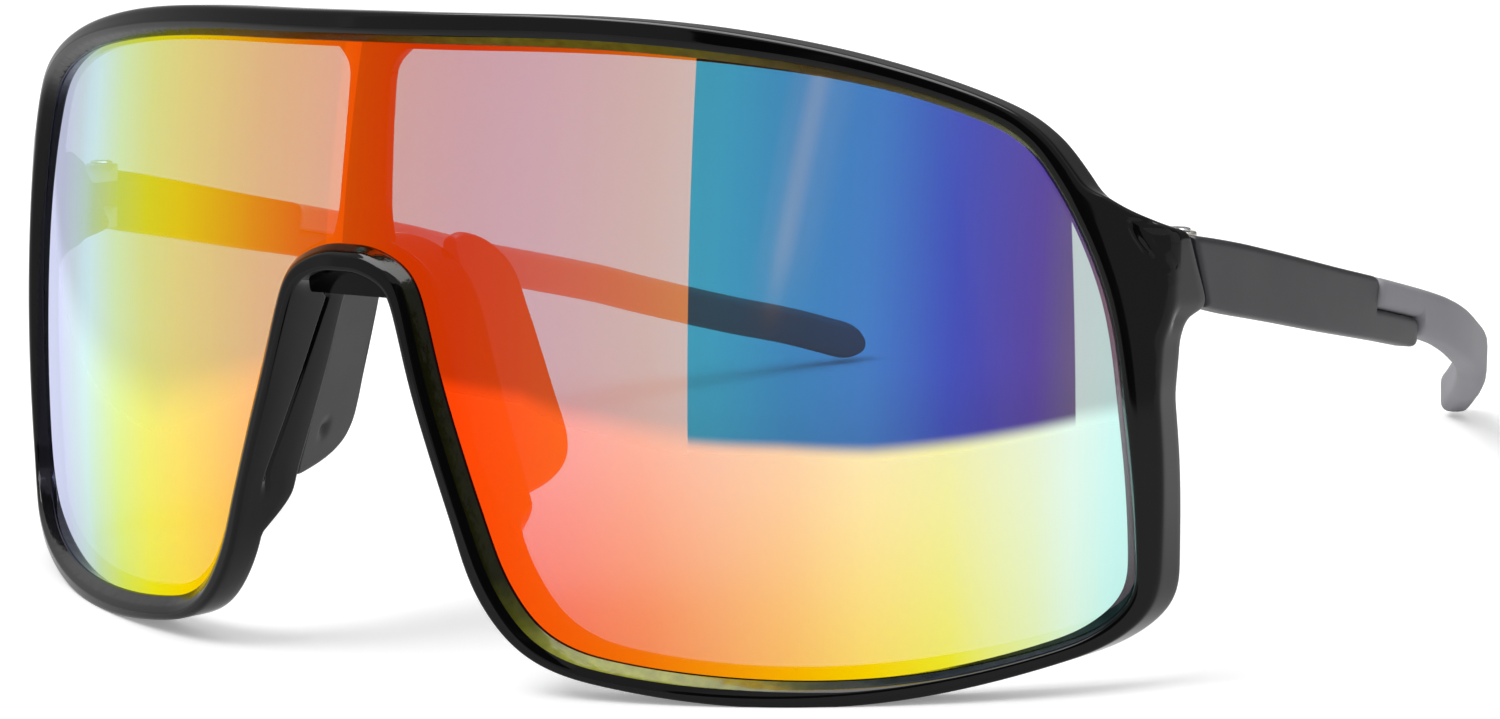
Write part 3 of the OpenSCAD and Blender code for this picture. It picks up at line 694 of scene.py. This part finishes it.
def centre_post():
    """Flat bar that bends with the lens: at each height a rounded oblong, whose half width is
    taken from the table and whose front lies on the lens's back."""
    z = np.linspace(POST[0, 0], POST[-1, 0], 60)
    half = softened(np.interp(z, POST[:, 0], POST[:, 1]) * POST_W, 5)
    z = z * OPENING_H - WAIST_H
    corners = [on_barrel(np.stack([half * way, z], -1), LENS_T + GROOVE_GAP, WRAP_R, deep)
               for way, deep in ((-1, 0), (1, 0), (1, POST_T), (-1, POST_T))]
    return grown_body(rounded(np.stack(corners, 1), 0.35, 5, (8, 0, 8, 0)))


piece("centre_post", *centre_post(), "front", "frame", [glossy_nylon])


# Lens: how far short of the groove's floor its edge ends
LENS_SHORT = 0.02


def lens_shell():
    """Two sheets over the same columns: column x runs from the lower to the upper outline of
    the lens, and each sheet lies on its barrel. The first faces are coated, the rest bare."""
    line = along(opening[:, :2], np.linspace(0, LAST_ROW, 1200))
    step = unit(np.gradient(line, axis=0))
    line = line + np.stack([-step[:, 1], step[:, 0]], -1) * (GROOVE_D - LENS_SHORT)
    widest = np.argmax(line[:, 0])
    upper, lower = line[:widest + 1], line[widest:][::-1]
    reach = line[widest, 0]
    x = reach * np.sin(np.linspace(-np.pi / 2, np.pi / 2, 321))
    top = np.interp(np.abs(x), np.maximum.accumulate(upper[:, 0]), upper[:, 1])
    low = np.interp(np.abs(x), np.maximum.accumulate(lower[:, 0]), lower[:, 1])
    v = np.linspace(0, 1, 56)[None, :]
    z = low[:, None] * (1 - v) + top[:, None] * v
    xx = np.broadcast_to(x[:, None], z.shape)
    flat = np.stack([xx, z], -1).reshape(-1, 2)
    sheets = [on_barrel(flat, y0, WRAP_R) for y0 in (0, LENS_T)]
    rows, cols = z.shape
    quads = grid_faces(rows, cols, 0, 0)
    number = np.arange(rows * cols).reshape(rows, cols)
    border = np.concatenate([number[:, 0], number[-1, 1:], number[-2::-1, -1], number[0, -2:0:-1]])
    after = np.roll(border, -1)
    total = rows * cols
    edge = np.stack([after, border, border + total, after + total], -1)
    faces = np.concatenate([quads, quads[:, ::-1] + total, edge])
    return np.concatenate(sheets), faces.tolist(), np.arange(len(faces)) >= len(quads)


vertices, faces, bare = lens_shell()
lens = piece("coated_lens", vertices, faces, "front", "lens", [coated_front, bare_inner], 40, bare)
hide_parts("lens")
# The thin coat's tinted light on the table is lost in the bright studio
lens.visible_diffuse = False
lens.visible_shadow = False


# Nose pads
PAD_OUTLINE = np.array([
    (0.0, 0.985), (0.2, 1), (0.55, 0.95), (0.79, 0.85), (0.87, 0.69), (0.91, 0.57), (0.96, 0.37),
    (1, 0.19), (0.9, 0.1), (0.62, 0.04), (0.1, 0), (0.0, 0.005)])
DIMPLE_AT = (3.1, 4.6)
DIMPLE_R = 0.62
DIMPLE_D = 0.5
# How far the pad's edge rounds in, from the rim of its outline to its broad faces
PAD_ROUND = 0.55


def nose_pad():
    """Soft plate: rings of its outline shrink towards its middle over each broad face and run
    round the edge as a half oval, so the plate is crowned. A small dimple is pressed into
    the face on the nose side as a bell curve."""
    half = along(PAD_OUTLINE * (PAD_REACH, PAD_H), np.linspace(0, len(PAD_OUTLINE) - 1, 110))
    foot = np.linspace(half[-1], half[0], 26)[1:-1]
    line = softened(np.concatenate([half, foot]), 3, True)
    middle = line.mean(0)
    span = np.linalg.norm(line - middle, axis=1, keepdims=True)
    shares = np.linspace(0.02, 0.93, 22)
    layers = [(share, 0.0) for share in shares]
    for a in np.linspace(-np.pi / 2, np.pi / 2, 13):
        layers.append((1 - PAD_ROUND * (1 - np.cos(a)) / span, (np.sin(a) + 1) / 2 * PAD_T))
    layers += [(share, PAD_T) for share in shares[::-1]]
    grid = np.stack([np.column_stack([np.full(len(line), x), middle + (line - middle) * share])
                     for share, x in layers])
    x, y, z = np.moveaxis(grid, -1, 0)
    bell = np.exp(-((y - DIMPLE_AT[0])**2 + (z - DIMPLE_AT[1])**2) / DIMPLE_R**2)
    x, y = spun(x + DIMPLE_D * bell * (x < 0.4 * PAD_T), y, PAD_SPLAY)
    x, z = spun(x, z, -PAD_LEAN)
    foot_x = off(ring[:, 2])[np.argmin(np.abs(half_u - PAD_FOOT_ROW)), 0]
    return grown_body(np.stack([x + foot_x, np.maximum(y, 0) + FLANGE_Y + PAD_GAP, z + PAD_FOOT_Z], -1))


for side, word in ((1, "left"), (-1, "right")):
    pad = piece(f"soft_nose_pad_{word}", *nose_pad(), "front", "nose_pads", [pad_elastomer], 50, side=side)
    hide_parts(f"nose_pad_{word}")


# Temples: how far in and how far down the bar has gone, by shares of its length

PLAN = np.array([
    (-0.1, 0), (0.07, -0.01), (0.19, -0.02), (0.31, -0.02), (0.44, 0.01), (0.52, 0.07), (0.6, 0.18),
    (0.69, 0.32), (0.77, 0.47), (0.85, 0.64), (0.93, 0.82), (1, 1)])
DROP = np.array([
    (-0.1, -0.06), (0, 0.015), (0.11, 0.1), (0.22, 0.19), (0.33, 0.275), (0.45, 0.375), (0.55, 0.48),
    (0.69, 0.615), (0.75, 0.69), (0.85, 0.81), (0.92, 0.885), (0.98, 0.97), (1, 1)])
plan_line, drop_line = (
    along(shares * (TEMPLE_L, -reach) + (0, start), np.linspace(0, len(shares) - 1, 500))
    for shares, start, reach in ((PLAN, END_X, TIP_IN), (DROP, HINGE_Z, TIP_DROP)))
# Sections between the rounded ends of the arm, of its ledge and of the sleeve on the ledge
ARM_RUN = 90
LEDGE_RUN = 30
SLEEVE_RUN = 36
# Length over which the arm's slanted front end fades out
SHEAR_L = 9


def temple_run(share, inner, outer, low, high, cuts, spans):
    """Sections along the temple at shares of its length. Each is an oblong between two depths
    under the outer face and two heights over the middle line, square to the temple's path."""
    y = share * TEMPLE_L
    lines = (plan_line, drop_line)
    x, z = (table(line, y)[:, 0] for line in lines)
    dx, dz = (softened((table(line, y + 0.5) - table(line, y - 0.5))[:, 0], 5) for line in lines)
    path = np.stack([x, y + HINGE_Y, z], -1)
    tangent = unit(np.stack([dx, np.ones_like(dx), dz], -1))
    inwards = unit(np.stack([-tangent[:, 1], tangent[:, 0], np.zeros(len(y))], -1))
    up = np.cross(tangent, inwards)
    inner, outer, low, high = (np.broadcast_to(v, y.shape)[:, None] for v in (inner, outer, low, high))
    corners = [path + inwards * a + up * b
               for a, b in ((outer, low), (outer, high), (inner, high), (inner, low))]
    return rounded(np.stack(corners, 1), cuts, 6, spans)


def temple_arm():
    """Flat bar from the hinge to the end of its ledge. Behind the start of the soft tip only
    its lower half goes on, and both ends are drawn in a little to round their edges."""
    first = (ARM_FRONT_Y - JOINT_SLOPE * (HINGE_Z - JOINT_LOW_Z) - HINGE_Y) / TEMPLE_L
    ends = first + np.array([0, 0.0006, 0.0018, 0.004])
    last = LEDGE_SHARE - np.array([0.006, 0.003, 0.0012, 0])
    cut = SLEEVE_SHARE - np.array([0.0035, 0.0012, 0.0004, 0])
    share = np.concatenate([ends, np.linspace(first + 0.007, SLEEVE_SHARE - 0.008, ARM_RUN), cut,
                            np.linspace(SLEEVE_SHARE + 0.002, LEDGE_SHARE - 0.01, LEDGE_RUN), last])
    high = ARM_H / 2 + (SLEEVE_H - ARM_H) / 2 * (share + 0.1) / 1.1
    low = -high
    draw = np.zeros(len(share))
    draw[:4] = (0.32, 0.14, 0.04, 0)
    draw[-4:] = (0.02, 0.08, 0.2, 0.45)
    stepped = len(ends) + ARM_RUN
    high[stepped:stepped + 3] -= (0.02, 0.1, 0.3)
    high[stepped + 3:] = -0.04
    points = temple_run(share, ARM_T - draw, draw, low + draw, high - draw,
                        (0.75, 0.75, 0.6, 0.6), (6, 2, 6, 2))
    # The front end lies along the slanted joint, and that shear fades out behind it
    gone = np.clip((share - first) * TEMPLE_L / SHEAR_L, 0, 1)[:, None]
    shear = (np.maximum(points[..., 2], JOINT_LOW_Z) - HINGE_Z) * JOINT_SLOPE
    points[..., 1] -= shear * (1 - gone)**1.5
    return grown_body(points)


def soft_tip():
    """Sleeve that lies on the arm's ledge first and then goes all round to its blunt end,
    which shrinks as a quarter circle."""
    start = SLEEVE_SHARE + np.array([0.0015, 0.0022, 0.004, 0.007])
    step = LEDGE_SHARE + np.array([0.001, 0.0018, 0.0035, 0.006])
    tail = 1 - 0.028 * (1 - np.sin(np.linspace(0, np.pi / 2, 14)))
    on_ledge = np.linspace(SLEEVE_SHARE + 0.012, LEDGE_SHARE - 0.002, SLEEVE_RUN)
    past_it = np.linspace(LEDGE_SHARE + 0.01, tail[0] - 0.005, 150)
    share = np.concatenate([start, on_ledge, step, past_it, tail])
    slim = (share + 0.1) / 1.1
    high = ARM_H / 2 + (SLEEVE_H - ARM_H) / 2 * slim
    low = (ARM_H / 2 - SLEEVE_H) * (1 - slim) - SLEEVE_H / 2 * slim
    first_step = len(start) + SLEEVE_RUN
    low[:first_step] = 0
    low[first_step:first_step + 3] *= (0.35, 0.75, 0.93)
    draw = np.zeros(len(share))
    draw[:4] = (0.4, 0.2, 0.07, 0.01)
    round_share = np.clip((share - tail[0]) / (1 - tail[0]), 0, 1)
    shrink = np.sqrt(np.maximum(1 - round_share**2, 0.0009))
    half_w, half_h = (SLEEVE_T / 2 - draw) * shrink, ((high - low) / 2 - draw) * shrink
    mid_w, mid_h = ARM_T / 2, (low + high) / 2
    return grown_body(temple_run(share, mid_w + half_w, mid_w - half_w, mid_h - half_h, mid_h + half_h,
                                 1.3, (5, 2, 5, 2)))


for side, word in ((1, "left"), (-1, "right")):
    body = f"temple_{word}"
    arm = piece(f"moulded_arm_{word}", *temple_arm(), body, "temples", [satin_nylon], side=side)
    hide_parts(f"temple_arm_{word}")
    drilled(arm, [cutters[0 if side > 0 else 1]])
    vertices, faces = soft_tip()
    tip = piece(f"soft_tip_{word}", flattened(vertices), faces, body, "temple_tips", [tip_elastomer_and_painted_sheen],
                side=side)
    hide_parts(f"temple_sleeve_{word}")
    hinge_mesh = frame["nodes"][f"hinge_temple_{word}"].data
    hinge_mesh.materials.clear()
    hinge_mesh.materials.append(blackened_metal)
for obj in cutters:
    bpy.data.objects.remove(obj)

# Hinge pieces in the endpieces: the front's two knuckles and leaves, from Z to Z, the screw's
# outline as radius and Z, and its slot
KNUCKLE_R = 1.75
KNUCKLE_ROUND = 0.2
LEAF_T = 1.2
LEAF_L = 6.6
KNUCKLES = ((8.3, 10.7), (13.3, 15.25))
SCREW = ((0.01, 8.75), (0.5, 8.75), (0.6, 8.85), (0.6, 15.2), (1.1, 15.22), (1.2, 15.3),
         (1.2, 15.42), (1.12, 15.53), (0.9, 15.6), (0.01, 15.6))
SLOT_HALF = (1.5, 0.14)
SLOT_LOW_Z, SLOT_HIGH_Z = 15.38, 16.5


def knuckle(low, high):
    """Profile of a knuckle: quarter circles at its two edges."""
    t = np.linspace(0, np.pi / 2, 7)
    lower = (KNUCKLE_R, low) + KNUCKLE_ROUND * np.stack([np.sin(t) - 1, 1 - np.cos(t)], -1)
    upper = lower[::-1] * (1, -1) + (0, low + high)
    return np.concatenate([[(0.01, low)], lower, upper, [(0.01, high)]])


def leaf(low, high):
    """Flat leaf beside the knuckles: a rounded oblong, drawn in at both ends."""
    z = np.array([low, low + 0.05, low + 0.15, high - 0.15, high - 0.05, high])
    draw = np.array([0.15, 0.05, 0, 0, 0.05, 0.15])
    x0, x1 = HINGE_X - KNUCKLE_R + draw, HINGE_X - KNUCKLE_R + LEAF_T - draw
    y0, y1 = HINGE_Y - LEAF_L + draw, HINGE_Y - draw
    corners = np.stack([np.stack([x, y, z], -1) for x, y in ((x0, y0), (x1, y0), (x1, y1), (x0, y1))], 1)
    return grown_body(rounded(corners, 0.2, 5, (4, 4, 4, 4)))


def joined(parts):
    """Several closed shells as one list of vertices and faces."""
    starts = np.cumsum([0] + [len(vertices) for vertices, _ in parts]).tolist()
    faces = [[k + start for k in face] for (_, shell), start in zip(parts, starts) for face in shell]
    return np.concatenate([vertices for vertices, _ in parts]), faces


slot = np.array([(-1, -1), (1, -1), (1, 1), (-1, 1)]) * SLOT_HALF + (HINGE_X, HINGE_Y)
slot = np.stack([np.column_stack([slot, np.full(4, z)]) for z in (SLOT_LOW_Z, SLOT_HIGH_Z)])
slot, slot_faces = grown_body(slot)
hinge = joined([turned(knuckle(*span)) for span in KNUCKLES] + [leaf(*span) for span in KNUCKLES])
for side, word in ((1, "left"), (-1, "right")):
    fixed = piece(f"hinge_knuckles_{word}", *hinge, "front", "hinge_metal", [nickel_silver], side=side)
    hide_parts(f"hinge_front_{word}")
    screw = piece(f"slotted_screw_{word}", *turned(SCREW), "front", "screw_steel", [turned_steel],
                  side=side)
    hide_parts(f"hinge_screw_{word}")
    slot_cutter = mesh_object("screw_slot", stood(slot * (side, 1, 1)), slot_faces)
    drilled(screw, [slot_cutter])
    bpy.data.objects.remove(slot_cutter)

# Stage: a pale table, and cards that only the gloss sees, as the dark room beyond the table


def stage_mesh(name, corners, faces, material, gloss_only=True):
    """Stage object from points in metres, which may be seen in reflections only."""
    obj = mesh_object(name, corners, faces, [material])
    if gloss_only:
        for ray in ("camera", "diffuse", "transmission", "volume_scatter", "shadow"):
            setattr(obj, "visible_" + ray, False)


def table_card():
    """Matte white card of the table, which the camera alone sees lifted to full white."""
    material, tree = new_material("white_table_card")
    shader = add(tree, "BsdfPrincipled", {
        "Base Color": linear("#fbfbfb"), "Roughness": 0.9, "Specular IOR Level": 0.1})
    seen = add(tree, "LightPath").outputs["Is Camera Ray"]
    lift = add(tree, "Math", {1: 0.25, 0: seen}, operation="MULTIPLY")
    screen = add(tree, "Emission", {"Color": WHITE, "Strength": lift})
    both = add(tree, "AddShader", {0: shader, 1: screen})
    add(tree, "OutputMaterial", {"Surface": both})
    return material


def card_paint(name, level, soft=0.0, streaks=()):
    """Evenly lit card, as bright as the level, that takes no light from the lamps. Over its
    soft lowest metres it goes down from the table's white. A streak adds a ramp of brightness
    over X plus slant times Z, which fades in or out between two heights."""
    material, tree = new_material(name)
    place = add(tree, "TexCoord").outputs["Object"]
    parts = add(tree, "SeparateXYZ", {"Vector": place}).outputs
    total = add(tree, "MapRange", {
        "Value": parts["Z"], "From Min": 0.0, "From Max": max(soft, 1e-5), "To Min": TABLE_WHITE,
        "To Max": level}, interpolation_type="SMOOTHSTEP")
    for slant, (faded, full), stops in streaks:
        low, high = stops[0][0], stops[-1][0]
        aslant = add(tree, "Math", {1: slant, 0: parts["Z"], 2: parts["X"]}, operation="MULTIPLY_ADD")
        share = add(tree, "MapRange", {"From Min": low, "From Max": high, "Value": aslant})
        ramp = add(tree, "ValToRGB", {"Fac": share},
                   [((at - low) / (high - low), more) for at, more in stops])
        ramp.color_ramp.interpolation = "EASE"
        rise = add(tree, "MapRange", {"From Min": faded, "From Max": full, "Value": parts["Z"]},
                   interpolation_type="SMOOTHSTEP")
        total = add(tree, "Math", {0: ramp, 1: rise, 2: total}, operation="MULTIPLY_ADD")
    glow = add(tree, "Emission", {"Color": WHITE, "Strength": total})
    add(tree, "OutputMaterial", {"Surface": glow})
    return material


def gloss_card(name, foot, height, paint, farther=1.0):
    """Upright card along a line of points on the table, seen in reflections only. The points
    can be moved farther from the lens, by a factor."""
    foot = (np.array(foot, float) - LENS_AT) * farther + LENS_AT
    low = np.column_stack([foot, np.zeros(len(foot))])
    corners = np.concatenate([low, low + (0, 0, height)])
    n = len(foot)
    stage_mesh(name, corners, [(k, k + 1, n + k + 1, n + k) for k in range(n - 1)], paint)


def level_quad(half_x, y0, y1, z):
    """Corners of a level oblong, and its one face."""
    return [(-half_x, y0, z), (half_x, y0, z), (half_x, y1, z), (-half_x, y1, z)], [(0, 1, 2, 3)]


TABLE_REACH = 3.0
TABLE_WHITE = 0.99
LENS_AT = (0.04, 0)
# Where the dark card meets the dim one and the one at the side
CORNER = (0.0705, -0.3345)
FAR_CORNER = (0.271, -0.189)
stage_mesh("table", *level_quad(TABLE_REACH, -TABLE_REACH, TABLE_REACH, 0), table_card(), False)
gloss_card("dark_room", (CORNER, (0.123, -0.293), (0.157, -0.244), (0.203, -0.221), FAR_CORNER),
           0.3, card_paint("unlit_room", 0.03, 0.006, (
               (-0.27, (0.035, 0.07), ((0.088, 0), (0.097, 0.03), (0.105, 0.12), (0.113, 0.03),
                                       (0.124, 0))),
               (0.27, (-0.01, 0.0), ((0.215, 0), (0.228, 0.01), (0.27, 0.02))))), 0.985)
gloss_card("dim_room", ((-0.52, -0.67), (-0.124, -0.646), (-0.039, -0.482), (0.006, -0.429),
                        (0.041, -0.379), CORNER), 0.75, card_paint("dim_room_paint", 0.62, 0.012), 0.94)
gloss_card("side_room", (FAR_CORNER, (0.47, 0.02)), 0.3, card_paint("side_room_paint", 0.58, 0.008))
gloss_card("left_room", ((-0.65, 0.4), (-0.26, 0.0), (-0.211, -0.047), (-0.185, -0.075), (-0.165, -0.105),
                         (-0.2, -0.15), (-0.283, -0.26), (-0.7, -0.8)), 0.5,
           card_paint("left_room_paint", 0.74, 0.014), 0.96)
gloss_card("back_room", ((-0.6, 0.5), (0.7, 0.5)), 0.5, card_paint("back_room_paint", 0.2, 0.05))
stage_mesh("softbox", *level_quad(0.5, -0.25, 0.3, 0.7), card_paint("softbox_screen", 9))

WORLD_LIGHT = 0.61
WORLD_GLOSS = 0.84


def studio():
    """World whose strength is 1 for what the camera sees, and plain levels for light and for
    gloss."""
    world = bpy.data.worlds.new("studio")
    world.use_nodes = True
    tree = world.node_tree
    tree.nodes.clear()
    rays = add(tree, "LightPath").outputs
    lit = add(tree, "Mix", {"A": WORLD_LIGHT, "B": WORLD_GLOSS, "Factor": rays["Is Glossy Ray"]},
              data_type="FLOAT")
    seen = add(tree, "Mix", {"B": 1.0, "Factor": rays["Is Camera Ray"], "A": lit}, data_type="FLOAT")
    glow = add(tree, "Background", {"Color": WHITE, "Strength": seen})
    add(tree, "OutputWorld", {"Surface": glow})
    return world


def set_up(obj, axes, place):
    """Puts an object in the scene at a place, with its own X, Y and Z along three axes."""
    scene.collection.objects.link(obj)
    rows = np.column_stack([np.transpose(axes), place]).tolist()
    obj.matrix_world = Matrix([*rows, (0, 0, 0, 1)])


# Key lamp, in metres and watts, and the point that it faces
KEY_AT = (-0.9, -1.5, 2.5)
KEY_AIM = (0, 0, 0.03)
KEY_SIZE = (1.7, 1.5)
KEY_WATTS = 45


def key_lamp():
    """Rectangular lamp that glossy surfaces don't see, with its own X level."""
    data = bpy.data.lights.new("key_lamp", "AREA")
    data.shape = "RECTANGLE"
    data.size, data.size_y = KEY_SIZE
    data.energy = KEY_WATTS
    lamp = bpy.data.objects.new("key_lamp", data)
    lamp.visible_glossy = False
    back = unit(np.subtract(KEY_AT, KEY_AIM))
    right = unit(np.cross((0, 0, 1), back))
    set_up(lamp, (right, np.cross(back, right), back), KEY_AT)


scene.world = studio()
key_lamp()

# Camera: the photograph's own place, turn and lens, worked out as worn and stood down
CAMERA_AT = (224.2, -266.2, 41.4)
CAMERA_AZ = math.radians(33.99)
CAMERA_EL = math.radians(5.96)
CAMERA_ROLL = math.radians(0.82)
FOCAL_PX = 3782.1
PHOTO_W = 1500
RISE_PX = -32.0


def photo_camera():
    """Camera whose back is (sin a cos e, -cos a cos e, sin e), turned by its roll about it."""
    data = bpy.data.cameras.new("photo_camera")
    data.sensor_fit = "HORIZONTAL"
    data.sensor_width = 36
    data.lens = FOCAL_PX / PHOTO_W * data.sensor_width
    data.shift_y = RISE_PX / PHOTO_W
    data.clip_start, data.clip_end = 0.01, 50
    camera = bpy.data.objects.new("photo_camera", data)
    right = np.array([math.cos(CAMERA_AZ), math.sin(CAMERA_AZ), 0])
    level = np.array([right[1], -right[0], 0])
    back = level * math.cos(CAMERA_EL) + (0, 0, math.sin(CAMERA_EL))
    right, up = spun(right, np.cross(back, right), CAMERA_ROLL)
    set_up(camera, upright([right, up, back]), stood(CAMERA_AT))
    scene.camera = camera


photo_camera()
scene.view_settings.view_transform = "Standard"
